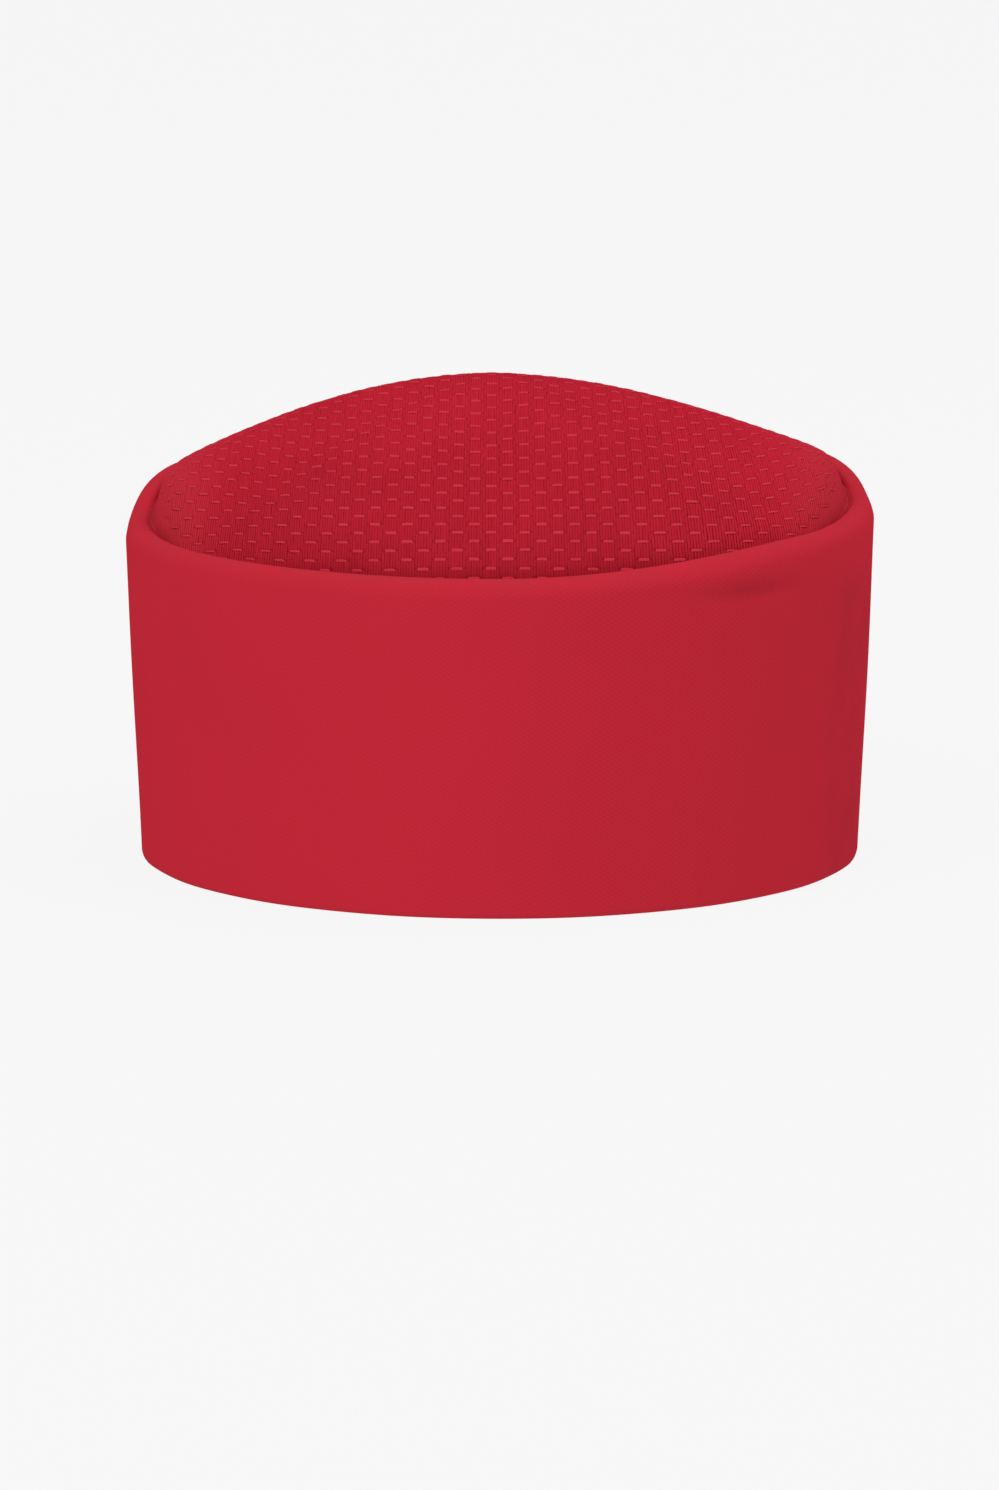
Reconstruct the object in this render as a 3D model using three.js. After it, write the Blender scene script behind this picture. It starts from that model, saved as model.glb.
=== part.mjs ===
// A chef's skull cap: a tall band of doubled twill with a soft rolled top edge, and a domed crown of
// mesh weave whose edge tucks down behind the roll. Millimetres, +Z up. The front faces -Y and the
// hem stands on z = 0 round the origin.
import * as THREE from "three";

// The band, measured outside. Its hem is an ellipse. Its top is fuller, most of all at the back, where
// it also leans out a little.
const hemHalfWidth = 87.6;
const topHalfWidth = 91.7;
const lengthToWidth = 1.18;
const hemSquareness = 2.0;
const frontSquareness = 2.0;
const backSquareness = 2.55;
const backLean = 1.1;
const leanFrom = 0.6; // the share of the band's height where the lean starts
const wall = 2.4; // two layers of twill

// The rolled top edge
const rollHeight = 4.5;
const rollOuter = 4.5; // from the outer face in to the crest
const rollInner = 1.8; // from the crest in to the roll's inner face
const rollDepth = 8; // how far the inner face reaches below the crest
const rollHeel = 4; // the slope from the roll's inner face out to the band's inner face

// The crown
const crownTop = 119.4; // height of its highest point
const topShift = { x: -2.2, y: -13.9 }; // that point's place, left of the middle and towards the front
const domeHalfWidth = 85; // the ellipse that the dome's rings near as they close on the top
const shoulderPower = 42; // how steeply the dome drops to the seam at its shoulders
const ridgeRound = 0.06; // how softly straight slopes meet on the top, as a share of the way out
const crownCloth = 1.2;
const gap = 0.3; // clearance between the crown's edge and the roll
const crownSeam = 3; // where the dome leaves the roll, below the crest
const crownHem = 8; // where the crown's tucked edge ends, below the crest

// Round the head from the back over -X, the front and +X: the height of the crest, the fullness of the
// dome, which stays high longer where it is more, the share of its fall that is a straight slope, which
// leaves a soft ridge across the top, and the shoulder by which its cloth puffs up over the seam.
const directions = [
  { degrees: -180, crest: 88.6, fullness: 0, ridge: 0.56, shoulder: 3.9 },
  { degrees: -130, crest: 89.4, fullness: 0.05, ridge: 0.32, shoulder: 3.4 },
  { degrees: -90, crest: 82.1, fullness: -0.14, ridge: 0.04, shoulder: 12.8 },
  { degrees: -50, crest: 81.1, fullness: 0.28, ridge: 0.51, shoulder: -2 },
  { degrees: 0, crest: 80.7, fullness: 0.28, ridge: 1, shoulder: 0.4 },
  { degrees: 50, crest: 85.2, fullness: -0.05, ridge: 0.32, shoulder: 1.8 },
  { degrees: 90, crest: 87.0, fullness: -0.21, ridge: 0.05, shoulder: 12.4 },
  { degrees: 130, crest: 92.0, fullness: -0.13, ridge: 0.29, shoulder: 3.2 },
  { degrees: 180, crest: 88.6, fullness: 0, ridge: 0.56, shoulder: 3.9 },
];

// How finely the solids are faceted
const columns = 64;
const wallRows = 6;
const rollSteps = 4;
const domeRings = 16;
const ringBias = 1.8; // above 1 the rings lie closer together towards the seam

// The table's value of one column in a direction, blended smoothly between its rows.
function around(column, degrees) {
  const next = directions.findIndex((row) => row.degrees > degrees);
  const high = directions[next < 0 ? directions.length - 1 : next];
  const low = directions[next < 0 ? directions.length - 2 : next - 1];
  const share = (degrees - low.degrees) / (high.degrees - low.degrees);
  return THREE.MathUtils.lerp(low[column], high[column], THREE.MathUtils.smoothstep(share, 0, 1));
}

// The radius in a direction of a superellipse with this half-width.
function planRadius(degrees, halfWidth, squareness) {
  const angle = THREE.MathUtils.degToRad(degrees);
  const across = Math.abs(Math.sin(angle)) / halfWidth;
  const along = Math.abs(Math.cos(angle)) / (halfWidth * lengthToWidth);
  return (across ** squareness + along ** squareness) ** (-1 / squareness);
}

// The band's outer radius at a share of the height below its roll.
function bandRadius(degrees, up) {
  const topSquareness = Math.abs(degrees) < 90 ? frontSquareness : backSquareness;
  const squareness = THREE.MathUtils.lerp(hemSquareness, topSquareness, up);
  const halfWidth = THREE.MathUtils.lerp(hemHalfWidth, topHalfWidth, up);
  const leaning = Math.max(0, (up - leanFrom) / (1 - leanFrom)) ** 2;
  const lean = backLean * leaning * THREE.MathUtils.smoothstep(Math.abs(degrees), 85, 135);
  return planRadius(degrees, halfWidth, squareness) + lean;
}

// A point at a radius and height in a direction: 0 degrees is the front, 90 is +X.
function place(degrees, radius, height) {
  const angle = THREE.MathUtils.degToRad(degrees);
  return new THREE.Vector3(radius * Math.sin(angle), -radius * Math.cos(angle), height);
}

// The band's cross-section in a direction, as a loop that runs up the outside and down the inside.
function bandSection(degrees) {
  const crest = around("crest", degrees);
  const top = bandRadius(degrees, 1);
  const loop = [];
  for (let row = 0; row < wallRows; row++) {
    const up = row / wallRows;
    loop.push(place(degrees, bandRadius(degrees, up), up * (crest - rollHeight)));
  }
  for (let step = 0; step <= rollSteps; step++) {
    const turn = (step / rollSteps) * (Math.PI / 2);
    const radius = top - rollOuter * (1 - Math.cos(turn));
    loop.push(place(degrees, radius, crest - rollHeight * (1 - Math.sin(turn))));
  }
  for (let step = 1; step <= rollSteps; step++) {
    const turn = (step / rollSteps) * (Math.PI / 2);
    const radius = top - rollOuter - rollInner * Math.sin(turn);
    loop.push(place(degrees, radius, crest - rollInner * (1 - Math.cos(turn))));
  }
  loop.push(place(degrees, top - rollOuter - rollInner, crest - rollDepth));
  const heel = crest - rollDepth - rollHeel;
  for (let row = wallRows - 1; row >= 0; row--) {
    const height = (row / (wallRows - 1)) * heel;
    const radius = bandRadius(degrees, height / (crest - rollHeight)) - wall;
    loop.push(place(degrees, radius, height));
  }
  return loop;
}

// The dome's height at a share of the way out from its highest point to the seam behind the roll.
function domeHeight(degrees, outward) {
  const seam = around("crest", degrees) - crownSeam;
  const fullness = around("fullness", degrees);
  const ridge = around("ridge", degrees);
  const shoulder = around("shoulder", degrees);
  const straight = (Math.hypot(outward, ridgeRound) - ridgeRound) / (Math.hypot(1, ridgeRound) - ridgeRound);
  const curved = (1 - fullness - ridge) * outward ** 2 + fullness * outward ** 4;
  const drop = curved + ridge * straight;
  return crownTop - (crownTop - seam - shoulder) * drop - shoulder * outward ** shoulderPower;
}

// A face of the crown's cloth, this deep below its outside, from the top out to the tucked edge.
function crownFace(degrees, depth) {
  const edge = bandRadius(degrees, 1) - rollOuter - rollInner - gap - depth;
  const middle = planRadius(degrees, domeHalfWidth - depth, 2);
  const line = [];
  for (let ring = 1; ring <= domeRings; ring++) {
    const outward = 1 - (1 - ring / domeRings) ** ringBias;
    const inward = 1 - outward ** 2;
    const radius = outward * THREE.MathUtils.lerp(edge, middle, inward);
    const point = place(degrees, radius, domeHeight(degrees, outward) - depth);
    point.x += topShift.x * inward;
    point.y += topShift.y * inward;
    line.push(point);
  }
  line.push(place(degrees, edge, around("crest", degrees) - crownHem));
  return line;
}

// Joins sections of equal length into a skin. A closed section runs back to its own first point.
function skin(sections, closed) {
  const length = sections[0].length;
  const faces = [];
  sections.forEach((section, index) => {
    const next = sections[(index + 1) % sections.length];
    for (let row = 0; row < (closed ? length : length - 1); row++) {
      const above = (row + 1) % length;
      faces.push([section[row], next[row], next[above]]);
      faces.push([section[row], next[above], section[above]]);
    }
  });
  return faces;
}

// Closes one end of a skin with a fan of triangles round a single point.
function fan(sections, row, point) {
  return sections.map((section, index) => {
    return [section[row], sections[(index + 1) % sections.length][row], point];
  });
}

// The triangles as a mesh of one material.
function solid(name, faces, color, roughness) {
  const geometry = new THREE.BufferGeometry().setFromPoints(faces.flat());
  geometry.computeVertexNormals();
  const material = new THREE.MeshStandardMaterial({ color, roughness, metalness: 0 });
  const mesh = new THREE.Mesh(geometry, material);
  mesh.name = name;
  return mesh;
}

const bearings = Array.from({ length: columns }, (_, index) => (index / columns) * 360 - 180);

function makeBand() {
  return solid("band", skin(bearings.map(bandSection), true), 0xbd2635, 0.85);
}

function makeCrown() {
  const sections = bearings.map((degrees) => {
    const outside = crownFace(degrees, 0);
    const inside = crownFace(degrees, crownCloth);
    return [...inside, ...outside.reverse()];
  });
  const outerPole = new THREE.Vector3(topShift.x, topShift.y, crownTop);
  const innerPole = new THREE.Vector3(topShift.x, topShift.y, crownTop - crownCloth);
  const faces = [
    ...skin(sections, false),
    ...fan(sections, 0, innerPole).map((face) => face.reverse()),
    ...fan(sections, sections[0].length - 1, outerPole),
  ];
  return solid("crown", faces, 0xb02232, 0.9);
}

const cap = new THREE.Group();
cap.add(makeBand(), makeCrown());

export default cap;
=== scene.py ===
"""A red chef's skull cap on a pale floor: a tall twill band whose top edge is rolled, and a domed crown
of mesh weave that tucks down behind the roll. Metres, +Z up; the cap's front faces -Y."""

import math

import bpy
import numpy as np
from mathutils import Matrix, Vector


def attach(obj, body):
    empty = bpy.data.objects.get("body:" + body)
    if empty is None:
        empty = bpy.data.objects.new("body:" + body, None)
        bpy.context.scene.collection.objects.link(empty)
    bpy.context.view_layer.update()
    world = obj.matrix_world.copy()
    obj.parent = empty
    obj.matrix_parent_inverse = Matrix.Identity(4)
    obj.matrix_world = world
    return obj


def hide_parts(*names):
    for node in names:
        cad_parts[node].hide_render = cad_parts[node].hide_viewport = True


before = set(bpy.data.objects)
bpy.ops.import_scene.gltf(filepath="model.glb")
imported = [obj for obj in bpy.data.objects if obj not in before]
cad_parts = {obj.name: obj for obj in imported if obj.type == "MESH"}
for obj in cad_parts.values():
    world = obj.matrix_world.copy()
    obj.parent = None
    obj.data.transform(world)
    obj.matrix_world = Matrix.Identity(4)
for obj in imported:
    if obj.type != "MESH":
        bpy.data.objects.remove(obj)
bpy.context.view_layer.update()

MM = 0.001

# The band, as its solid has it, except that its hem spreads
HEM_HALF_WIDTH = 88.2 * MM  # a little wider than the solid's
TOP_HALF_WIDTH = 91.7 * MM
LENGTH_TO_WIDTH = 1.18
HEM_SQUARENESS = 2.0
FRONT_SQUARENESS = 2.0
BACK_SQUARENESS = 2.55
BACK_LEAN = 1.1 * MM
LEAN_FROM = 0.6  # the share of the band's height where the lean starts
LEAN_BEARINGS = (85, 135)  # degrees from the front between which the lean sets in
WALL = 2.4 * MM
ROLL_HEIGHT = 4.5 * MM
ROLL_OUTER = 4.5 * MM
ROLL_INNER = 1.8 * MM
ROLL_DEPTH = 8 * MM
ROLL_HEEL = 4 * MM

# The crown, as its solid has it, except that its seam is raised beside the tallest shoulders
CROWN_TOP = 119.4 * MM
TOP_SHIFT = (-2.2 * MM, -13.9 * MM)
DOME_HALF_WIDTH = 85 * MM
DOME_SQUARENESS = 2
SHOULDER_POWER = 42
RIDGE_ROUND = 0.06  # how softly straight slopes meet on the top
CROWN_CLOTH = 1.2 * MM
GAP = 0.3 * MM
CROWN_SEAM = 3 * MM
CROWN_HEM = 8 * MM
SEAM_RAISE = 3.4 * MM  # how far the seam comes up
RAISING_SHOULDERS = (3 * MM, 12 * MM)  # shoulders that start to raise it, and that raise it fully

# Round the head from the back over -X, the front and +X: crest heights, the dome's fullness, the share of
# its fall that is a straight slope, and the shoulder by which its cloth puffs up over the seam
DIRECTIONS = {
    "degrees": np.array([-180, -130, -90, -50, 0, 50, 90, 130, 180.0]),
    "crest": np.array([88.6, 89.4, 82.1, 81.1, 80.7, 85.2, 87.0, 92.0, 88.6]) * MM,
    "fullness": np.array([0, 0.05, -0.14, 0.28, 0.28, -0.05, -0.21, -0.13, 0]),
    "ridge": np.array([0.56, 0.32, 0.04, 0.51, 1, 0.32, 0.05, 0.29, 0.56]),
    "shoulder": np.array([3.9, 3.4, 12.8, -2, 0.4, 1.8, 12.4, 3.2, 3.9]) * MM,
}

# The weave of the crown
COLUMN = 3.7 * MM  # from one column of blocks to the next, along the cloth where the dome is widest
PERIOD = 6.4 * MM  # from one dash to the next in a column, along the cloth
RIBS = 6  # in a block
RIB_PITCH = COLUMN / RIBS
RIB_WIDTH = 0.85 * MM
RIB_THICK = 0.5 * MM
RIB_DIP = 0.11 * MM  # how far a block's ends lie below its middle
RIB_SINK = 0.32 * MM  # how far the ribs sink into the cloth at the seam, beside the temples
SHORTEST_RIB = 0.9 * MM
DASH_LENGTH = 2.5 * MM
DASH_WIDTH = 1.35 * MM
DASH_TAPER = 0.3  # how much narrower its ends are
DASH_THICK = 0.32 * MM
DASH_RISE = 0.05 * MM  # how far a dash stands out over the blocks
DASH_DIP = 0.12 * MM  # how far its ends lie below its middle
DASH_SINK = 0.26 * MM  # how far the dashes sink into the cloth at the seam, beside the temples
CLOTH_BELOW = 0.3 * MM  # the ground cloth's depth below the yarns' tops
EDGE_SHARE = 0.993  # how near to the seam the yarns run
SINK_SHARES = (0.96, EDGE_SHARE)  # shares of the way to the seam between which they sink
STEEPEST = 0.5  # the least upward part of the cloth's normal where a dash is seen

# Colours in linear RGB
TWILL_RED = (0.545, 0.0205, 0.0375)
TWILL_DARK = (0.430, 0.0200, 0.0360)
# The worn colour is paler from wear, and darker as painted shade that tones down the highlight on the roll
TWILL_WORN_AND_SHADED = (0.450, 0.0240, 0.0400)
YARN_LIGHT = (0.500, 0.0160, 0.0345)
YARN_DARK = (0.295, 0.0085, 0.0180)
# A paler, lighter colour for the crown's far sides: painted light
YARN_SIDE_LIT = (0.490, 0.0250, 0.0410)
# The dashes' colours are lighter than the ribs': painted sheen on the weft floats
DASH_LIGHT = (0.560, 0.0350, 0.0590)
DASH_DARK = (0.440, 0.0170, 0.0340)
# The ground cloth is darker than the yarns: painted shade in the gaps between them
GROUND_RED = (0.300, 0.0080, 0.0170)
# Lighter colours for the ground at its edge and behind the roll: painted light that takes the shade out of
# the groove there
EDGE_LIGHT = (0.470, 0.0155, 0.0320)
EDGE_DARK = (0.370, 0.0110, 0.0240)
FLOOR_WHITE = (0.915, 0.915, 0.915)


# Shapes that the band and the crown share

FIRST_OUTWARD = 0.5  # where dome_at starts its search, as a share of the way out
FARTHEST_OUTWARD = 1.2  # as far out as the dome's middle still counts in that search
SEARCH_ROUNDS = 24


def smoothstep(value, low, high):
    share = np.clip((value - low) / (high - low), 0, 1)
    return share * share * (3 - 2 * share)


def bearings(count):
    """Even bearings round the head, in degrees. 0 is the front, 90 is +X."""
    return np.arange(count) / count * 360 - 180


def around(column, degrees):
    """A column of DIRECTIONS at these bearings, blended smoothly between its rows."""
    known = DIRECTIONS["degrees"]
    row = np.clip(np.searchsorted(known, degrees, side="right"), 1, len(known) - 1)
    share = smoothstep(degrees, known[row - 1], known[row])
    values = DIRECTIONS[column]
    return values[row - 1] + (values[row] - values[row - 1]) * share


def plan_radius(degrees, half_width, squareness):
    """The radius of a superellipse at these bearings."""
    angle = np.radians(degrees)
    across = np.abs(np.sin(angle)) / half_width
    along = np.abs(np.cos(angle)) / (half_width * LENGTH_TO_WIDTH)
    return (across ** squareness + along ** squareness) ** (-1 / squareness)


def band_radius(degrees, up):
    """The band's outer radius at a share of the height below its roll."""
    top_squareness = np.where(np.abs(degrees) < 90, FRONT_SQUARENESS, BACK_SQUARENESS)
    squareness = HEM_SQUARENESS + (top_squareness - HEM_SQUARENESS) * up
    half_width = HEM_HALF_WIDTH + (TOP_HALF_WIDTH - HEM_HALF_WIDTH) * up
    leaning = np.maximum(0, (up - LEAN_FROM) / (1 - LEAN_FROM)) ** 2
    lean = BACK_LEAN * leaning * smoothstep(np.abs(degrees), *LEAN_BEARINGS)
    return plan_radius(degrees, half_width, squareness) + lean


def place(degrees, radius, height):
    """Points at these bearings, this far from the cap's middle line and this high."""
    angle = np.radians(degrees)
    height = np.broadcast_to(height, np.shape(radius))
    return np.stack([radius * np.sin(angle), -radius * np.cos(angle), height], axis=-1)


def crown_edge(degrees):
    """The radius of the crown's edge where it leaves the roll."""
    return band_radius(degrees, 1.0) - ROLL_OUTER - ROLL_INNER - GAP


def dome_height(degrees, outward):
    """The dome's height at a share of the way out from its highest point to the seam."""
    seam = around("crest", degrees) - CROWN_SEAM
    fullness = around("fullness", degrees)
    ridge = around("ridge", degrees)
    shoulder = around("shoulder", degrees)
    straight = (np.hypot(outward, RIDGE_ROUND) - RIDGE_ROUND) / (math.hypot(1, RIDGE_ROUND) - RIDGE_ROUND)
    drop = (1 - fullness - ridge) * outward ** 2 + fullness * outward ** 4 + ridge * straight
    fall = shoulder - SEAM_RAISE * smoothstep(shoulder, *RAISING_SHOULDERS)
    return CROWN_TOP - (CROWN_TOP - seam - shoulder) * drop - fall * outward ** SHOULDER_POWER


def dome_at(x, y):
    """The dome's height over points of the plan, and how far out they lie: 1 is the seam."""
    outward = np.full(np.shape(x), FIRST_OUTWARD)
    for _ in range(SEARCH_ROUNDS):
        inward = 1 - np.minimum(outward, FARTHEST_OUTWARD) ** 2
        from_x = x - TOP_SHIFT[0] * inward
        from_y = y - TOP_SHIFT[1] * inward
        degrees = np.degrees(np.arctan2(from_x, -from_y))
        edge = crown_edge(degrees)
        middle = plan_radius(degrees, DOME_HALF_WIDTH, DOME_SQUARENESS)
        outward = np.hypot(from_x, from_y) / (edge + (middle - edge) * inward)
    return dome_height(degrees, np.minimum(outward, 1.0)), outward


# Making meshes

def make_mesh(name, vertices, quads, uv, points):
    """A mesh of quads. uv holds one pair for each face corner, or is None. points holds numbers by name,
    one for each vertex."""
    mesh = bpy.data.meshes.new(name)
    mesh.vertices.add(len(vertices))
    mesh.vertices.foreach_set("co", np.asarray(vertices, np.float32).ravel())
    mesh.loops.add(quads.size)
    mesh.loops.foreach_set("vertex_index", quads.astype(np.int32).ravel())
    mesh.polygons.add(len(quads))
    mesh.polygons.foreach_set("loop_start", np.arange(0, quads.size, 4, dtype=np.int32))
    mesh.polygons.foreach_set("use_smooth", np.ones(len(quads), bool))
    if uv is not None:
        layer = mesh.uv_layers.new(name="cloth")
        layer.uv.foreach_set("vector", np.asarray(uv, np.float32).ravel())
    for key, values in points.items():
        attribute = mesh.attributes.new(key, "FLOAT", "POINT")
        attribute.data.foreach_set("value", np.asarray(values, np.float32).ravel())
    mesh.update(calc_edges=True)
    mesh.validate()
    piece = bpy.data.objects.new(name, mesh)
    bpy.context.scene.collection.objects.link(piece)
    return piece


def ring_quads(rings, columns):
    """The quads between rings of points. Each ring closes on itself, and the last one on the first."""
    ring = np.arange(rings)[:, None]
    column = np.arange(columns)[None, :]
    after = (column + 1) % columns
    above = (ring + 1) % rings
    low, high = ring * columns, above * columns
    corners = [low + column, low + after, high + after, high + column]
    return np.stack(corners, axis=-1).reshape(-1, 4)


def ring_uv(around_length, along_length):
    """Face corners' places on the cloth: round the ring by around_length, which has one value more
    than there are columns, and across the rings by along_length."""
    shape = (len(along_length), len(around_length) - 1)
    left = np.broadcast_to(around_length[:-1], shape)
    right = np.broadcast_to(around_length[1:], shape)
    low = np.broadcast_to(along_length[:, None], shape)
    high = np.broadcast_to(np.append(along_length[1:], along_length[-1])[:, None], shape)
    corners = [(left, low), (right, low), (right, high), (left, high)]
    return np.stack([np.stack(pair, axis=-1) for pair in corners], axis=2).reshape(-1, 2)


def lengths_along(line):
    """The length of a line of points from its first point to each of them."""
    steps = np.linalg.norm(np.diff(line, axis=0), axis=1)
    return np.concatenate([[0], np.cumsum(steps)])


def lengths_round(ring):
    """The same for a ring of points, with its whole length at the end."""
    return lengths_along(np.concatenate([ring, ring[:1]]))


# The band

BAND_COLUMNS = 420
HEM_ROWS = 8
WALL_ROWS = 56
ROLL_ROWS = 12
ROLL_INNER_ROWS = 6
BEHIND_ROWS = 4  # behind the roll, down to where the inner wall starts
INNER_ROWS = 26
SHADED_ROWS = HEM_ROWS + WALL_ROWS + 2  # up to just above the roll's foot

# How worn the cloth is at its hem, and how fast that fades over the rows above
HEM_WEAR = 0.6
FOOT_WEAR = 0.5
FOOT_ROWS = 1.5

# Long ripples in the band: how deep they are, how many there are round the head and how far they are
# turned in degrees, and how tall they are and how far they are shifted up the wall
RIPPLES = [
    {"depth": 0.22 * MM, "count": 7, "turned": 40, "tall": 31 * MM, "shifted": 0},
    {"depth": 0.12 * MM, "count": 17, "turned": 110, "tall": 13 * MM, "shifted": 1},
]

# Soft dents in the band: bearing, height and reach of each, and how deep it is
DENTS = [
    {"degrees": 36, "height": 75.0 * MM, "wide": 8, "tall": 1.8 * MM, "depth": 1.0 * MM},
    {"degrees": 34, "height": 78.4 * MM, "wide": 10, "tall": 1.8 * MM, "depth": -0.4 * MM},
    {"degrees": 27, "height": 71.5 * MM, "wide": 9, "tall": 3.0 * MM, "depth": 0.2 * MM},
    {"degrees": 58, "height": 52 * MM, "wide": 7, "tall": 16 * MM, "depth": 0.5 * MM},
    {"degrees": 47, "height": 36 * MM, "wide": 6, "tall": 13 * MM, "depth": 0.35 * MM},
    {"degrees": 68, "height": 30 * MM, "wide": 8, "tall": 18 * MM, "depth": 0.5 * MM},
    {"degrees": -62, "height": 44 * MM, "wide": 10, "tall": 18 * MM, "depth": 0.35 * MM},
    {"degrees": 150, "height": 48 * MM, "wide": 12, "tall": 16 * MM, "depth": 0.6 * MM},
    {"degrees": -148, "height": 40 * MM, "wide": 11, "tall": 20 * MM, "depth": 0.5 * MM},
]
SEAM_WIDTH = 0.6  # degrees to each side of the centre-back seam
SEAM_DEPTH = 0.7 * MM

# Painted shade on the band: bearings over which the darker patch on the right sets in and ends, heights
# over which it ends, and a small spot of painted shade in the crease under the roll
SHADE_START = (50, 66)
SHADE_END = (84, 108)
SHADE_TOP = (66 * MM, 80 * MM)
SHADED_CREASE = {"degrees": 37, "height": 75.4 * MM, "wide": 7, "tall": 1.8 * MM, "depth": 1.3}


def spot_depth(degrees, height, spot):
    """The depth of a round spot, which fades from its middle, at these places of the band."""
    across = (degrees - spot["degrees"]) / spot["wide"]
    along = (height - spot["height"]) / spot["tall"]
    return spot["depth"] * np.exp(-(across ** 2) - along ** 2)


def softness(degrees, height):
    """How far the band's cloth lies in from its plain form."""
    inward = 0
    for ripple in RIPPLES:
        across = np.sin(np.radians(degrees * ripple["count"] + ripple["turned"]))
        along = np.sin(height / ripple["tall"] + ripple["shifted"])
        inward = inward + ripple["depth"] * across * along
    for dent in DENTS:
        inward = inward + spot_depth(degrees, height, dent)
    from_back = 180 - np.abs(degrees)
    return inward + SEAM_DEPTH * np.exp(-((from_back / SEAM_WIDTH) ** 2))


def band_shade(degrees, height):
    """How much painted shade darkens the band: 1 in the middle of the patch on the right, and a little
    more in the crease."""
    patch = smoothstep(degrees, *SHADE_START) * (1 - smoothstep(degrees, *SHADE_END))
    patch = patch * (1 - smoothstep(height, *SHADE_TOP))
    return patch + spot_depth(degrees, height, SHADED_CREASE)


def band_rings(degrees):
    """The band's section at these bearings, a closed loop of rings up the outside and down the inside:
    radius, height, and the share of worn colour of each ring, which is wear and painted shade."""
    crest = around("crest", degrees)
    rise = crest - ROLL_HEIGHT
    top = band_radius(degrees, 1.0)
    hem = WALL / 2
    rings = []
    for row in range(HEM_ROWS):
        turn = math.pi * (1 - row / HEM_ROWS)
        radius = band_radius(degrees, 0.0) - hem + hem * math.cos(turn) - softness(degrees, 0.0)
        rings.append((radius, np.full(len(degrees), hem - hem * math.sin(turn)), HEM_WEAR))
    for row in range(WALL_ROWS):
        up = row / WALL_ROWS
        height = np.maximum(up * rise, hem * (1 - up))
        wear_and_shade = FOOT_WEAR * math.exp(-row / FOOT_ROWS)
        rings.append((band_radius(degrees, height / rise) - softness(degrees, height), height, wear_and_shade))
    at_roll = softness(degrees, rise)
    # The roll's crest takes most of the worn colour: wear, and painted shade against its highlight
    for row in range(ROLL_ROWS + 1):
        turn = math.pi / 2 * row / ROLL_ROWS
        fade = 1 - row / ROLL_ROWS
        radius = top - ROLL_OUTER * (1 - math.cos(turn)) - at_roll * fade
        rings.append((radius, crest - ROLL_HEIGHT * (1 - math.sin(turn)), math.sin(turn) ** 2))
    for row in range(1, ROLL_INNER_ROWS + 1):
        turn = math.pi / 2 * row / ROLL_INNER_ROWS
        radius = top - ROLL_OUTER - ROLL_INNER * math.sin(turn)
        rings.append((radius, crest - ROLL_INNER * (1 - math.cos(turn)), math.cos(turn) ** 2))
    inner = top - ROLL_OUTER - ROLL_INNER
    for row in range(1, BEHIND_ROWS + 1):
        rings.append((inner, crest - ROLL_INNER - (ROLL_DEPTH - ROLL_INNER) * row / BEHIND_ROWS, 0.0))
    heel = crest - ROLL_DEPTH - ROLL_HEEL
    for row in range(INNER_ROWS - 1, -1, -1):
        height = hem + (heel - hem) * row / (INNER_ROWS - 1)
        radius = band_radius(degrees, height / rise) - WALL - softness(degrees, height)
        rings.append((radius, height, 0.0))
    return rings


def make_band():
    degrees = bearings(BAND_COLUMNS)
    rings = band_rings(degrees)
    points = np.stack([place(degrees, radius, height) for radius, height, _ in rings])
    half_way_up = points[HEM_ROWS + WALL_ROWS // 2]
    in_front = points[:, BAND_COLUMNS // 2]
    uv = ring_uv(lengths_round(half_way_up), lengths_along(in_front))
    wear_and_shade = np.concatenate([np.full(BAND_COLUMNS, wear_and_shade) for _, _, wear_and_shade in rings])
    # Painted shade on the band's outside: a darker patch on the right and a spot in the crease under the
    # roll
    outside = np.arange(len(rings)) < SHADED_ROWS
    band_shaded = np.concatenate([band_shade(degrees, height) * out for (_, height, _), out in zip(rings, outside)])
    quads = ring_quads(len(rings), BAND_COLUMNS)
    return make_mesh("band_cloth", points.reshape(-1, 3), quads, uv, {"wear_and_shade": wear_and_shade, "band_shade": band_shaded})


# The crown's ground cloth

CROWN_COLUMNS = 256
CROWN_RINGS = 64
RING_BIAS = 1.8  # above 1 the rings lie closer together towards the seam
MIDDLE_RING = 0.02  # where the first ring lies, which closes the cloth at its middle, counted in rings
# Between these shares the ground turns to its lighter edge colours: painted light in the groove beside the
# roll
EDGE_SHARES = (0.93, 0.98)  # shares of the way to the seam between which the cloth's edge starts
TUCKED_OUT = 0.5 * MM  # how far the cloth spreads behind the roll, almost to the roll's inner side
TOUCH_DEPTH = 0.4 * MM  # the least depth below the crest where the cloth comes against the roll
ROLL_CLEAR = 0.5 * MM  # how far below the roll's inner curve the cloth hangs straight

# Depths below the crest of the last rings, down to the hem behind the roll
TUCKED_DEPTHS = (CROWN_SEAM + 2.2 * MM, CROWN_SEAM + 3.6 * MM, CROWN_HEM)


def ring_outward(ring):
    """How far out a ring of the ground cloth lies, as a share of the way to the seam."""
    return 1 - (1 - ring / CROWN_RINGS) ** RING_BIAS


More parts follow.
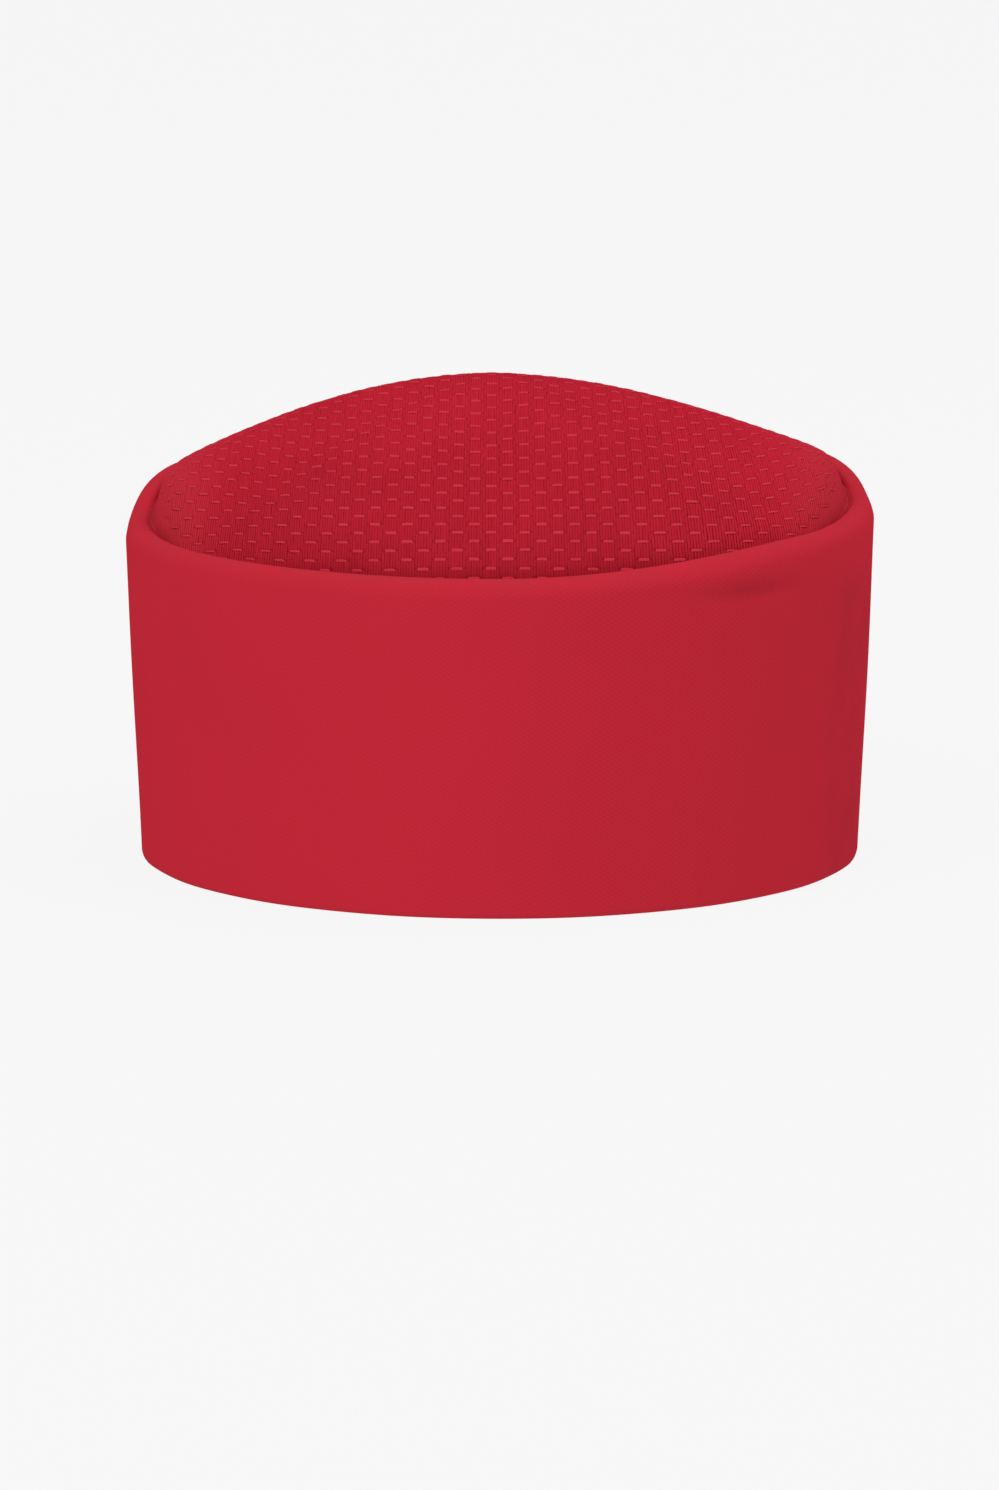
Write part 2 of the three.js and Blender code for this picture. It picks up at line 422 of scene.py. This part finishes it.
def crown_face(degrees, depth):
    """A face of the ground cloth, this deep below the dome, from near the top out to its tucked hem."""
    edge = crown_edge(degrees) - depth
    middle = plan_radius(degrees, DOME_HALF_WIDTH - depth, DOME_SQUARENESS)
    rings = []
    for ring in range(CROWN_RINGS + 1):
        outward = ring_outward(max(ring, MIDDLE_RING))
        inward = 1 - outward ** 2
        radius = outward * (edge + (middle - edge) * inward)
        point = place(degrees, radius, dome_height(degrees, outward) - depth)
        point[:, 0] += TOP_SHIFT[0] * inward
        point[:, 1] += TOP_SHIFT[1] * inward
        rings.append(point)
    crest = around("crest", degrees)
    seam = dome_height(degrees, 1.0) - depth
    tucked = edge + TUCKED_OUT
    down = np.maximum(TOUCH_DEPTH, crest - seam + TOUCH_DEPTH)
    above = 1 - np.minimum(down, ROLL_INNER) / ROLL_INNER
    bulge = ROLL_INNER * (1 - np.sqrt(1 - above ** 2))
    rings.append(place(degrees, tucked + bulge, crest - down))
    rings.append(place(degrees, tucked, crest - np.maximum(down, ROLL_INNER) - ROLL_CLEAR))
    for depth_below in TUCKED_DEPTHS:
        rings.append(place(degrees, tucked, crest - depth_below))
    return rings


def make_ground():
    """The ground cloth under the yarns, closed at its hem and at its middle."""
    degrees = bearings(CROWN_COLUMNS)
    inside = crown_face(degrees, CROWN_CLOTH)
    outside = crown_face(degrees, CLOTH_BELOW)
    points = np.stack(inside + outside[::-1])
    seam = points[CROWN_RINGS]
    beside = points[:, 3 * CROWN_COLUMNS // 4]
    uv = ring_uv(lengths_round(seam), lengths_along(beside))
    edge = np.ones(len(inside))
    edge[:CROWN_RINGS + 1] = smoothstep(ring_outward(np.arange(CROWN_RINGS + 1)), *EDGE_SHARES)
    edge = np.repeat(np.concatenate([edge, edge[::-1]]), CROWN_COLUMNS)
    quads = ring_quads(len(points), CROWN_COLUMNS)
    return make_mesh("crown_ground", points.reshape(-1, 3), quads, uv, {"edge": edge})


# How the crown's cloth lies on the dome

WIDEST_Y = 8 * MM  # where the dome is widest
PLAIN_Y = -60 * MM  # where the weave's columns have their plain places across the plan
DRAWN = 0.75  # how much the columns draw together towards the back, for each metre
DRAWN_RIGHT = 0.8  # how much more on the right
RIGHT_COLUMNS = (20 * MM, 70 * MM)  # columns between which that sets in
LINE_HEIGHT = 79.5 * MM  # a line round the front from which the cloth's length is measured
LINE_TILT = 0.14  # how far that line sinks for each step back
MOST_TURN = 1.6  # how far back a row may go for each step across
TURNING_Y = (-10 * MM, 45 * MM)  # from the last level row in front to the first square one

# The cloth's length starts where it is above that line and inside the seam. A rise of RISE_SCALE over
# the line counts as much as 1 / INWARD_SCALE of the way in from the seam
RISE_SCALE = 10 * MM
INWARD_SCALE = 10

# Grids over the plan, in millimetres: first and last value, and the step between two
PLAN_REACH = 112
FINE_GRID = (-PLAN_REACH, PLAN_REACH, 0.1)
COLUMN_GRID = (-PLAN_REACH, 111.5, 0.75)
Y_GRID = (-110, 108, 0.25)
LIMIT_POINTS = 1600  # over the same reach, to find where a column is on the dome
JUST_BEFORE = 0.001  # keeps a place on the grid of columns just before the last of them


def grid(first, last, step):
    """Even values from first to last, turned from millimetres to metres."""
    return np.arange(first, last + step / 2, step) * MM


def nearest(values, known):
    """The index of the value nearest to each of these in an even grid."""
    steps = np.round((values - known[0]) / (known[1] - known[0]))
    return np.clip(steps, 0, len(known) - 1).astype(int)


def column_x(column, y):
    """The plan's x where a column of the weave passes y. A column is named by its x at PLAIN_Y."""
    drawn = DRAWN + DRAWN_RIGHT * smoothstep(column, *RIGHT_COLUMNS)
    return column * (1 - drawn * (y - PLAIN_Y))


class Cloth:
    """The crown's cloth laid over the dome. Its columns run front to back and draw together a little on
    the way. A place on it is a width of cloth from its middle column, measured where the dome is widest,
    and a length of cloth along the column from a line that is nearly level round the front."""

    def __init__(self):
        self.fine = grid(*FINE_GRID)
        fine_x = column_x(self.fine, WIDEST_Y)
        height, _ = dome_at(fine_x, np.full_like(fine_x, WIDEST_Y))
        width = np.concatenate([[0], np.cumsum(np.hypot(np.diff(fine_x), np.diff(height)))])
        self.width = width - width[len(width) // 2]
        self.column = grid(*COLUMN_GRID)
        self.y = grid(*Y_GRID)
        columns, plan_y = np.meshgrid(self.column, self.y, indexing="ij")
        plan_x = column_x(columns, plan_y)
        height, outward = dome_at(plan_x, plan_y)
        slope = np.gradient(height, self.y, axis=1)
        lean = np.gradient(plan_x, self.y, axis=1)
        step = np.sqrt(1 + slope ** 2 + lean ** 2) * (self.y[1] - self.y[0])
        length = np.cumsum(step, axis=1) - step / 2
        rise = height + LINE_TILT * plan_y - LINE_HEIGHT
        past = np.minimum(rise / RISE_SCALE, INWARD_SCALE * (1 - outward))
        reached = (past > 0).any(axis=1)
        first = np.where(reached, (past > 0).argmax(axis=1), len(self.y) // 2)[:, None]
        before, after = (np.take_along_axis(past, index, axis=1) for index in (first - 1, first))
        share = np.clip(before / np.where(before == after, 1, before - after), 0, 1)
        ends = [np.take_along_axis(length, index, axis=1) for index in (first - 1, first)]
        self.length = length - ends[0] - (ends[1] - ends[0]) * share
        across, along = np.gradient(self.length, self.column, self.y)
        self.turn = -across / along

    def column_at(self, width):
        """The column of the weave at each width of cloth."""
        return np.interp(width, self.width, self.fine)

    def row_at(self, column):
        """The last column of the grid before each column of the weave, and the share of the way from it
        to the next."""
        steps = (column - self.column[0]) / (self.column[1] - self.column[0])
        steps = np.clip(steps, 0, len(self.column) - 1 - JUST_BEFORE)
        row = steps.astype(int)
        return row, steps - row

    def y_at(self, column, length):
        """The plan's y at each column and length of cloth."""
        row, share = self.row_at(column)
        result = np.zeros(len(column))
        for index in np.unique(row):
            here = row == index
            low = np.interp(length[here], self.length[index], self.y)
            high = np.interp(length[here], self.length[index + 1], self.y)
            result[here] = low + (high - low) * share[here]
        return result

    def limits(self, width):
        """The two lengths between which the cloth lies on the dome at this width, or None."""
        column = self.column_at(width)
        y = np.linspace(-PLAN_REACH, PLAN_REACH, LIMIT_POINTS) * MM
        _, outward = dome_at(column_x(column, y), y)
        inside = y[outward < EDGE_SHARE]
        if len(inside) == 0:
            return None
        row, share = self.row_at(column)
        ends = [inside[0], inside[-1]]
        low, high = (np.interp(ends, self.y, self.length[index]) for index in (row, row + 1))
        return low + (high - low) * share

    def turn_at(self, column, y):
        """How far a row of the weave goes back for each step from column to column to +X. In front the
        rows are level, and at the back they cross the columns squarely."""
        turn = self.turn[nearest(column, self.column), nearest(y, self.y)]
        return np.clip(turn, -MOST_TURN, MOST_TURN) * (1 - smoothstep(y, *TURNING_Y))


def dome_frame(x, y):
    """Points on the dome over the plan, with their normals, the directions across and along, and how far
    out they lie."""
    step = 0.1 * MM
    height, outward = dome_at(x, y)
    slope_x = (dome_at(x + step, y)[0] - height) / step
    slope_y = (dome_at(x, y + step)[0] - height) / step
    normal = np.stack([-slope_x, -slope_y, np.ones_like(x)], axis=-1)
    normal /= np.linalg.norm(normal, axis=-1, keepdims=True)
    across = np.stack([np.ones_like(x), np.zeros_like(x), slope_x], axis=-1)
    across /= np.linalg.norm(across, axis=-1, keepdims=True)
    along = np.cross(normal, across)
    return np.stack([x, y, height], axis=-1), normal, across, along, outward


# The crown's yarns

YARN_SIDES = 6

# Where the rings of a rib lie along it, from end to end, and those of a dash from its middle
RIB_STEPS = np.array([0, 0.2, 0.8, 1.0])
DASH_STEPS = np.array([-1, -0.92, -0.72, 0, 0.72, 0.92, 1.0])
RIB_ROUND = 3  # the greater this power, the flatter a rib is up to its ends
DASH_ROUND = 6

# How much the yarns differ: how far ribs stray across and yarns in height, and between which shares of
# their plain sizes they lie
RIB_STRAY = 0.03 * MM
RIB_LIFT = 0.015 * MM
DASH_LIFT = 0.02 * MM
RIB_WIDTHS = (0.95, 1.05)
DASH_WIDTHS = (0.9, 1.1)
DASH_LENGTHS = (0.92, 1.06)

# Tones, from 0 for the light colour to 1 for the dark one: a plain yarn's, what painted light adds at the
# top and sides, what painted shade adds beside the roll, and how much yarns differ
RIB_TONES = {"plain": 0.33, "painted_light": -0.42, "seam_shade": 0.50, "differ": 0.05}
DASH_TONES = {"plain": 0.2, "painted_light": -0.42, "seam_shade": 0.4, "differ": 0.06}

# Where painted light makes the crown's yarns lighter, as heights, distances to the right and to the left
# from which it sets in and at which it is complete, with how much each of them counts
LIT_TOP = (84 * MM, 116 * MM)
LIT_RIGHT = (25 * MM, 78 * MM)
LIT_LEFT = (35 * MM, 85 * MM)
TOP_COUNTS = 0.55
RIGHT_COUNTS = 0.75
LEFT_COUNTS = 0.6

# Where painted shade darkens it beside the roll: shares of the way to the seam, and how much of that shade
# the sides take away
SEAM_SHADE_SHARES = (0.91, 0.985)
UNSHADED_SIDES = 0.85


def painted_light_and_shade(point, outward):
    """Where light and shade are painted on the crown's cloth, over its points. The first result is 1 where
    painted light makes the top and the sides lighter, the second is 1 where painted shade darkens it
    beside the roll, and the third is 1 on the sides alone."""
    lit_top = smoothstep(point[..., 2], *LIT_TOP)
    lit_right = smoothstep(point[..., 0], *LIT_RIGHT)
    lit_left = smoothstep(-point[..., 0], *LIT_LEFT)
    painted_light = TOP_COUNTS * lit_top + RIGHT_COUNTS * lit_right + LEFT_COUNTS * lit_left
    sides = np.maximum(lit_right, lit_left)
    seam_shade = smoothstep(outward, *SEAM_SHADE_SHARES) * (1 - UNSHADED_SIDES * sides)
    return np.clip(painted_light, 0, 1), seam_shade, sides


def sink(depth, sides, outward):
    """How far yarns sink into the cloth where it meets the roll at the sides, up to this depth."""
    return depth * sides * smoothstep(outward, *SINK_SHARES)


def draw_tones(tones, painted_light, seam_shade, shape, rng):
    """The tone of each ring of the yarns, which differ at random from one to the next."""
    # Painted light lightens the tone at the top and sides, and painted shade darkens it beside the roll
    tone = tones["plain"] + tones["painted_light"] * painted_light + tones["seam_shade"] * seam_shade
    return tone.reshape(shape) + rng.normal(0, tones["differ"], (shape[0], 1))


def strands(name, centres, side, up, half_width, half_thick, tone):
    """Many short closed yarns as one mesh. centres, side and up are (yarn, ring, 3), half_width,
    half_thick and tone are (yarn, ring)."""
    yarns, rings, _ = centres.shape
    turn = np.arange(YARN_SIDES) / YARN_SIDES * 2 * math.pi
    across = half_width[..., None, None] * np.cos(turn)[:, None] * side[:, :, None, :]
    over = half_thick[..., None, None] * np.sin(turn)[:, None] * up[:, :, None, :]
    points = centres[:, :, None, :] + across + over
    ring = np.arange(rings - 1)[:, None]
    corner = np.arange(YARN_SIDES)[None, :]
    after = (corner + 1) % YARN_SIDES
    low, high = ring * YARN_SIDES, (ring + 1) * YARN_SIDES
    tube = np.stack([low + corner, low + after, high + after, high + corner], axis=-1)
    first = np.array([[0, 3, 2, 1], [0, 5, 4, 3]])
    last = np.array([[0, 1, 2, 3], [0, 3, 4, 5]]) + (rings - 1) * YARN_SIDES
    faces = np.concatenate([tube.reshape(-1, 4), first, last])
    quads = faces[None] + (np.arange(yarns) * rings * YARN_SIDES)[:, None, None]
    tones = {"tone": np.repeat(tone.ravel(), YARN_SIDES)}
    return make_mesh(name, points.reshape(-1, 3), quads.reshape(-1, 4), None, tones)


def columns_of_cloth(cloth):
    """Each column of the weave: its index, the width of cloth to its middle, and the lengths between
    which its middle is on the dome."""
    reach = int(cloth.width[-1] / COLUMN) + 1
    widths = [(index, (index + 0.5) * COLUMN) for index in range(-reach, reach + 1)]
    found = [(index, width, cloth.limits(width)) for index, width in widths]
    return [(index, width, limits) for index, width, limits in found if limits is not None]


def column_phase(index):
    """How far the blocks of a column are shifted along it: by half a period in every second one."""
    return 0.5 * PERIOD if index % 2 else 0.0


def blocks_between(first, last):
    """The numbers of all blocks that can lie between two lengths of cloth."""
    return range(int(first / PERIOD) - 2, int(last / PERIOD) + 2)


def make_ribs(cloth, columns, name, odd, rng):
    """The blocks of warp ribs in every second column."""
    starts, ends, across = [], [], []
    phase = column_phase(odd)
    middles = [width for index, width, _ in columns if index % 2 == odd]
    offsets = [(rib - (RIBS - 1) / 2) * RIB_PITCH for rib in range(RIBS)]
    for width in (middle + offset for middle in middles for offset in offsets):
        limits = cloth.limits(width)
        if limits is None:
            continue
        first, last = limits
        for block in blocks_between(first, last):
            start = max(block * PERIOD + phase, first)
            end = min((block + 1) * PERIOD + phase, last)
            if end - start > SHORTEST_RIB:
                across.append(width)
                starts.append(start)
                ends.append(end)
    starts, ends, across = np.array(starts), np.array(ends), np.array(across)
    along = starts[:, None] + (ends - starts)[:, None] * RIB_STEPS
    column = cloth.column_at(np.repeat(across, len(RIB_STEPS)) + rng.normal(0, RIB_STRAY, along.size))
    y = cloth.y_at(column, along.ravel())
    shape = along.shape
    point, normal, side, _, outward = dome_frame(column_x(column, y), y)
    lift = -0.5 * RIB_THICK - RIB_DIP * np.abs(2 * RIB_STEPS - 1) ** RIB_ROUND
    lift = lift[None, :] + rng.normal(0, RIB_LIFT, (shape[0], 1))
    painted_light, seam_shade, sides = painted_light_and_shade(point, outward)
    lift = lift - sink(RIB_SINK, sides, outward).reshape(shape)
    centres = (point + normal * lift.reshape(-1, 1)).reshape(*shape, 3)
    half_width = 0.5 * RIB_WIDTH * rng.uniform(*RIB_WIDTHS, (shape[0], 1)) + np.zeros(shape)
    half_thick = np.full(shape, 0.5 * RIB_THICK)
    tone = draw_tones(RIB_TONES, painted_light, seam_shade, shape, rng)
    side, up = side.reshape(*shape, 3), normal.reshape(*shape, 3)
    return strands(name, centres, side, up, half_width, half_thick, tone)


def make_dashes(cloth, columns, rng):
    """The short weft floats between the blocks."""
    widths, lengths = [], []
    for index, width, (first, last) in columns:
        phase = column_phase(index)
        for block in blocks_between(first, last):
            length = block * PERIOD + phase
            if first + 0.5 * DASH_WIDTH < length < last - 0.5 * DASH_WIDTH:
                widths.append(width)
                lengths.append(length)
    widths, lengths = np.array(widths), np.array(lengths)
    reach = 0.5 * DASH_LENGTH * rng.uniform(*DASH_LENGTHS, (len(widths), 1))
    middle = cloth.column_at(widths)
    middle_y = cloth.y_at(middle, lengths)
    turn = cloth.turn_at(middle, middle_y)
    column = cloth.column_at(widths[:, None] + reach * DASH_STEPS[None, :])
    y = middle_y[:, None] + (column - middle[:, None]) * turn[:, None]
    seen = dome_frame(column_x(middle, middle_y), middle_y)[1][:, 2] > STEEPEST
    column, y = column[seen], y[seen]
    shape = column.shape
    point, normal, _, along, outward = dome_frame(column_x(column, y).ravel(), y.ravel())
    lift = DASH_RISE - 0.5 * DASH_THICK - DASH_DIP * np.abs(DASH_STEPS) ** DASH_ROUND
    lift = lift[None, :] + rng.normal(0, DASH_LIFT, (shape[0], 1))
    _, seam_shade, sides = painted_light_and_shade(point, outward)
    lift = lift - sink(DASH_SINK, sides, outward).reshape(shape)
    centres = (point + normal * lift.reshape(-1, 1)).reshape(*shape, 3)
    half_width = 0.5 * DASH_WIDTH * (1 - DASH_TAPER * np.abs(DASH_STEPS) ** DASH_ROUND)
    half_width = half_width[None, :] * rng.uniform(*DASH_WIDTHS, (shape[0], 1))
    half_thick = np.full(shape, 0.5 * DASH_THICK)
    # Painted light makes the dashes lighter on the sides, and painted shade darkens them beside the roll
    tone = draw_tones(DASH_TONES, sides, seam_shade, shape, rng)
    along, under = along.reshape(*shape, 3), -normal.reshape(*shape, 3)
    return strands("crown_dashes", centres, along, under, half_width, half_thick, tone)


# Materials

CLOTH_ROUGHNESS = 0.85
GROUND_ROUGHNESS = 0.9
SHEEN = 0.03
SHEEN_ROUGHNESS = 0.5
SHEEN_TINT = (1.0, 0.15, 0.2, 1.0)

# The lines of the twill and those that cross them: slope in degrees and pitch in millimetres
WALES = {"tilt": -36, "pitch": 0.92}
CROSS = {"tilt": 25, "pitch": 1.05}

# How strongly the crossing lines and the fibre stand out beside the twill's lines
CROSS_RELIEF = 0.45
FIBRE_RELIEF = 0.8

# The share of its dark colour that the twill has, and what its lines add as painted shade in their
# grooves, what blotches add, and what the painted shade on the band adds
TWILL_SHADE = 0.22
WALES_SHADE = -0.20
CROSS_SHADE = -0.10
BLOTCH_SHADE = 0.10
WIDE_SHADE = 0.08
PAINTED_SHADE = 0.3
SHADE_MOTTLING = 0.35

# What the fibre and soft patches add to the tone of the yarns
FIBRE_TONE = 0.3
PATCH_TONE = 0.12

# How much of the paler, lighter colour of painted light the crown has beside the temples, and how far to
# the side it sets in
RIBS_SIDE_LIGHT = 0.8
DASHES_SIDE_LIGHT = 0.2
SIDE_LIGHT_FROM = (64 * MM, 80 * MM)

# The ground cloth's rows: how many there are to a dash, and how strongly they show beside its ribs
ROWS_TO_A_DASH = 4
ROWS_RELIEF = 0.6
# Lower places take the darker colours: painted shade in the grooves between ribs and rows
GROUND_HEIGHTS = (-1.8, 1.8)  # from its lowest places to its highest, in colour


class Nodes:
    """A short way to write a material's nodes."""

    def __init__(self, name):
        self.material = bpy.data.materials.new(name)
        self.material.use_nodes = True
        self.tree = self.material.node_tree
        self.shader = self.tree.nodes["Principled BSDF"]

    def add(self, kind, **settings):
        node = self.tree.nodes.new(kind)
        for key, value in settings.items():
            setattr(node, key, value)
        return node

    def feed(self, socket, value):
        """Links a socket to another, or gives it a plain value."""
        if isinstance(value, bpy.types.NodeSocket):
            self.tree.links.new(value, socket)
        else:
            socket.default_value = value

    def math(self, operation, a, b=0.0, c=0.0):
        node = self.add("ShaderNodeMath", operation=operation)
        for socket, value in zip(node.inputs, (a, b, c)):
            self.feed(socket, value)
        return node.outputs[0]

    def with_share(self, value, share, part):
        """A value with this share of another added to it."""
        return self.math("MULTIPLY_ADD", part, share, value)

    def mix(self, share, a, b):
        """A colour mixed from two."""
        node = self.add("ShaderNodeMix", data_type="RGBA")
        self.feed(node.inputs["Factor"], share)
        for socket, value in ((node.inputs[6], a), (node.inputs[7], b)):
            self.feed(socket, (*value, 1.0) if isinstance(value, tuple) else value)
        return node.outputs[2]

    def spread(self, value, low, high):
        """A value taken from low..high to 0..1, smoothly."""
        node = self.add("ShaderNodeMapRange", interpolation_type="SMOOTHSTEP")
        for key, number in (("Value", value), ("From Min", low), ("From Max", high)):
            self.feed(node.inputs[key], number)
        return node.outputs["Result"]

    def object_place(self):
        return self.add("ShaderNodeTexCoord").outputs["Object"]

    def noise(self, scale, detail):
        node = self.add("ShaderNodeTexNoise")
        node.inputs["Scale"].default_value = scale
        node.inputs["Detail"].default_value = detail
        self.feed(node.inputs["Vector"], self.object_place())
        return node.outputs["Fac"]

    def attribute(self, name):
        return self.add("ShaderNodeAttribute", attribute_name=name).outputs["Fac"]

    def cloth(self):
        """Lengths along the cloth's two directions, in millimetres."""
        split = self.add("ShaderNodeSeparateXYZ")
        self.feed(split.inputs[0], self.add("ShaderNodeUVMap", uv_map="cloth").outputs[0])
        return [self.math("MULTIPLY", output, 1 / MM) for output in split.outputs[:2]]

    def lines(self, u, v, tilt, pitch):
        """Parallel lines on the cloth as a wave from -1 to 1. tilt is the lines' slope, in degrees."""
        angle = math.radians(tilt)
        turns = 2 * math.pi / pitch
        across = self.math("MULTIPLY", u, -math.sin(angle) * turns)
        along = self.math("MULTIPLY", v, math.cos(angle) * turns)
        return self.math("SINE", self.math("ADD", across, along))

    def lit_beside_temples(self, color, side_light):
        """A colour of the weave that painted light turns paler and lighter beside the temples."""
        split = self.add("ShaderNodeSeparateXYZ")
        self.feed(split.inputs[0], self.object_place())
        beside = self.spread(self.math("ABSOLUTE", split.outputs[0]), *SIDE_LIGHT_FROM)
        return self.mix(self.math("MULTIPLY", beside, side_light), color, YARN_SIDE_LIT)

    def bump(self, height, distance, strength):
        node = self.add("ShaderNodeBump")
        node.inputs["Strength"].default_value = strength
        node.inputs["Distance"].default_value = distance
        self.feed(node.inputs["Height"], height)
        self.feed(self.shader.inputs["Normal"], node.outputs[0])

    def cloth_finish(self, roughness):
        self.shader.inputs["Roughness"].default_value = roughness
        self.shader.inputs["Specular IOR Level"].default_value = 0.0
        self.shader.inputs["Sheen Weight"].default_value = SHEEN
        self.shader.inputs["Sheen Roughness"].default_value = SHEEN_ROUGHNESS
        self.shader.inputs["Sheen Tint"].default_value = SHEEN_TINT


def twill_material():
    n = Nodes("red_twill")
    n.cloth_finish(CLOTH_ROUGHNESS)
    u, v = n.cloth()
    wales = n.lines(u, v, **WALES)
    cross = n.lines(u, v, **CROSS)
    fibre = n.noise(scale=2600, detail=3)
    height = n.with_share(wales, CROSS_RELIEF, cross)
    height = n.with_share(height, FIBRE_RELIEF, fibre)
    blotch = n.spread(n.noise(scale=28, detail=2), low=0.35, high=0.68)
    wide = n.spread(n.noise(scale=9, detail=1), low=0.35, high=0.7)
    shade = n.with_share(n.math("MULTIPLY", wide, WIDE_SHADE), BLOTCH_SHADE, blotch)
    # The twill's lines make it darker in its grooves: painted shade
    shade = n.with_share(shade, WALES_SHADE, wales)
    shade = n.with_share(shade, CROSS_SHADE, cross)
    shade = n.math("ADD", shade, TWILL_SHADE)
    # Painted shade, mottled, on the band's right and in the crease under the roll
    mottling = n.spread(n.noise(scale=60, detail=3), low=0.35, high=0.7)
    band_shaded = n.with_share(PAINTED_SHADE, SHADE_MOTTLING, mottling)
    shade = n.with_share(shade, band_shaded, n.attribute("band_shade"))
    color = n.mix(shade, TWILL_RED, TWILL_DARK)
    # Wear, and painted shade that tones down the roll's highlight
    rubbed_and_shaded = n.spread(n.noise(scale=220, detail=3), low=0.25, high=0.7)
    color = n.mix(n.math("MULTIPLY", n.attribute("wear_and_shade"), rubbed_and_shaded), color, TWILL_WORN_AND_SHADED)
    n.feed(n.shader.inputs["Base Color"], color)
    n.bump(height, distance=0.02 * MM, strength=0.8)
    return n.material


def yarn_material(name, light, dark, side_light):
    n = Nodes(name)
    n.cloth_finish(CLOTH_ROUGHNESS)
    fibre = n.noise(scale=3200, detail=3)
    tone = n.with_share(n.attribute("tone"), FIBRE_TONE, n.spread(fibre, low=0.3, high=0.75))
    patches = n.spread(n.noise(scale=40, detail=2), low=0.35, high=0.7)
    tone = n.with_share(tone, PATCH_TONE, patches)
    n.feed(n.shader.inputs["Base Color"], n.lit_beside_temples(n.mix(tone, light, dark), side_light))
    n.bump(fibre, distance=0.05 * MM, strength=0.6)
    return n.material


def ground_material():
    n = Nodes("red_mesh_ground")
    n.cloth_finish(GROUND_ROUGHNESS)
    u, v = n.cloth()
    ribs = n.lines(u, v, tilt=0, pitch=RIB_PITCH / MM)
    rows = n.lines(u, v, tilt=90, pitch=PERIOD / MM / ROWS_TO_A_DASH)
    height = n.with_share(ribs, ROWS_RELIEF, rows)
    tone = n.spread(height, *GROUND_HEIGHTS)
    # Dark ground colours: painted shade in the gaps between the yarns
    color = n.mix(tone, GROUND_RED, YARN_DARK)
    # At its edge the ground is painted lighter, against the groove's shade, and darker in its low places
    # as painted shade
    edge = n.mix(tone, EDGE_DARK, EDGE_LIGHT)
    color = n.mix(n.attribute("edge"), color, edge)
    n.feed(n.shader.inputs["Base Color"], n.lit_beside_temples(color, RIBS_SIDE_LIGHT))
    n.bump(height, distance=0.05 * MM, strength=0.7)
    return n.material


# The stage

CAMERA_DISTANCE = 2.15
CAMERA_RISE = 7.65  # degrees above the level of the aim's middle
AIM_HEIGHT = 60 * MM
AIM_DOWN = 0.899  # degrees by which the camera looks below that middle
LENS = 211.4
SENSOR_WIDTH = 36.0

FLOOR_SIZE = 30.0
FLOOR_BASE = (0.03, 0.03, 0.03)
FLOOR_GLOW = 0.983
WORLD_STRENGTH = 0.62

LIGHTS = [
    {"name": "key", "position": (-0.9, -1.5, 1.5), "size": 1.1, "power": 17},
    {"name": "top", "position": (0.6, 0.1, 1.9), "size": 1.4, "power": 13},
    {"name": "fill", "position": (1.4, -1.2, 0.8), "size": 1.2, "power": 2},
]


def make_floor():
    bpy.ops.mesh.primitive_plane_add(size=FLOOR_SIZE)
    floor = bpy.context.object
    floor.name = "floor"
    n = Nodes("pale_floor")
    n.shader.inputs["Roughness"].default_value = 1.0
    n.shader.inputs["Specular IOR Level"].default_value = 0.0
    n.shader.inputs["Base Color"].default_value = (*FLOOR_BASE, 1)
    n.shader.inputs["Emission Color"].default_value = (*FLOOR_WHITE, 1)
    n.shader.inputs["Emission Strength"].default_value = FLOOR_GLOW
    floor.data.materials.append(n.material)


def make_camera():
    data = bpy.data.cameras.new("camera")
    data.lens = LENS
    data.sensor_width = SENSOR_WIDTH
    camera = bpy.data.objects.new("camera", data)
    bpy.context.scene.collection.objects.link(camera)
    rise = math.radians(CAMERA_RISE)
    camera.location = (0, -CAMERA_DISTANCE * math.cos(rise), AIM_HEIGHT + CAMERA_DISTANCE * math.sin(rise))
    camera.rotation_euler = (math.radians(90 - CAMERA_RISE - AIM_DOWN), 0, 0)
    bpy.context.scene.camera = camera


def area_light(name, position, size, power):
    """A round lamp that shines on the middle of the cap."""
    data = bpy.data.lights.new(name, "AREA")
    data.shape = "DISK"
    data.size = size
    data.energy = power
    light = bpy.data.objects.new(name, data)
    bpy.context.scene.collection.objects.link(light)
    light.location = position
    towards = Vector((0, 0, AIM_HEIGHT)) - Vector(position)
    light.rotation_euler = towards.to_track_quat("-Z", "Y").to_euler()


def make_world():
    world = bpy.data.worlds.new("studio")
    world.use_nodes = True
    background = world.node_tree.nodes["Background"]
    background.inputs["Color"].default_value = (*FLOOR_WHITE, 1)
    background.inputs["Strength"].default_value = WORLD_STRENGTH
    bpy.context.scene.world = world


def dress(piece, material):
    piece.data.materials.append(material)
    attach(piece, "root")


SEED = 11

bpy.context.scene.view_settings.view_transform = "Standard"
make_floor()
make_world()
for light in LIGHTS:
    area_light(**light)
make_camera()

band = make_band()
dress(band, twill_material())
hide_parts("band")

rng = np.random.default_rng(SEED)
cloth = Cloth()
columns = columns_of_cloth(cloth)
ground = make_ground()
yarn = yarn_material("red_mesh_yarn", YARN_LIGHT, YARN_DARK, RIBS_SIDE_LIGHT)
even_ribs = make_ribs(cloth, columns, "crown_ribs_even", 0, rng)
odd_ribs = make_ribs(cloth, columns, "crown_ribs_odd", 1, rng)
dashes = make_dashes(cloth, columns, rng)
dress(ground, ground_material())
dress(even_ribs, yarn)
dress(odd_ribs, yarn)
dress(dashes, yarn_material("red_mesh_dash", DASH_LIGHT, DASH_DARK, DASHES_SIDE_LIGHT))
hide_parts("crown")
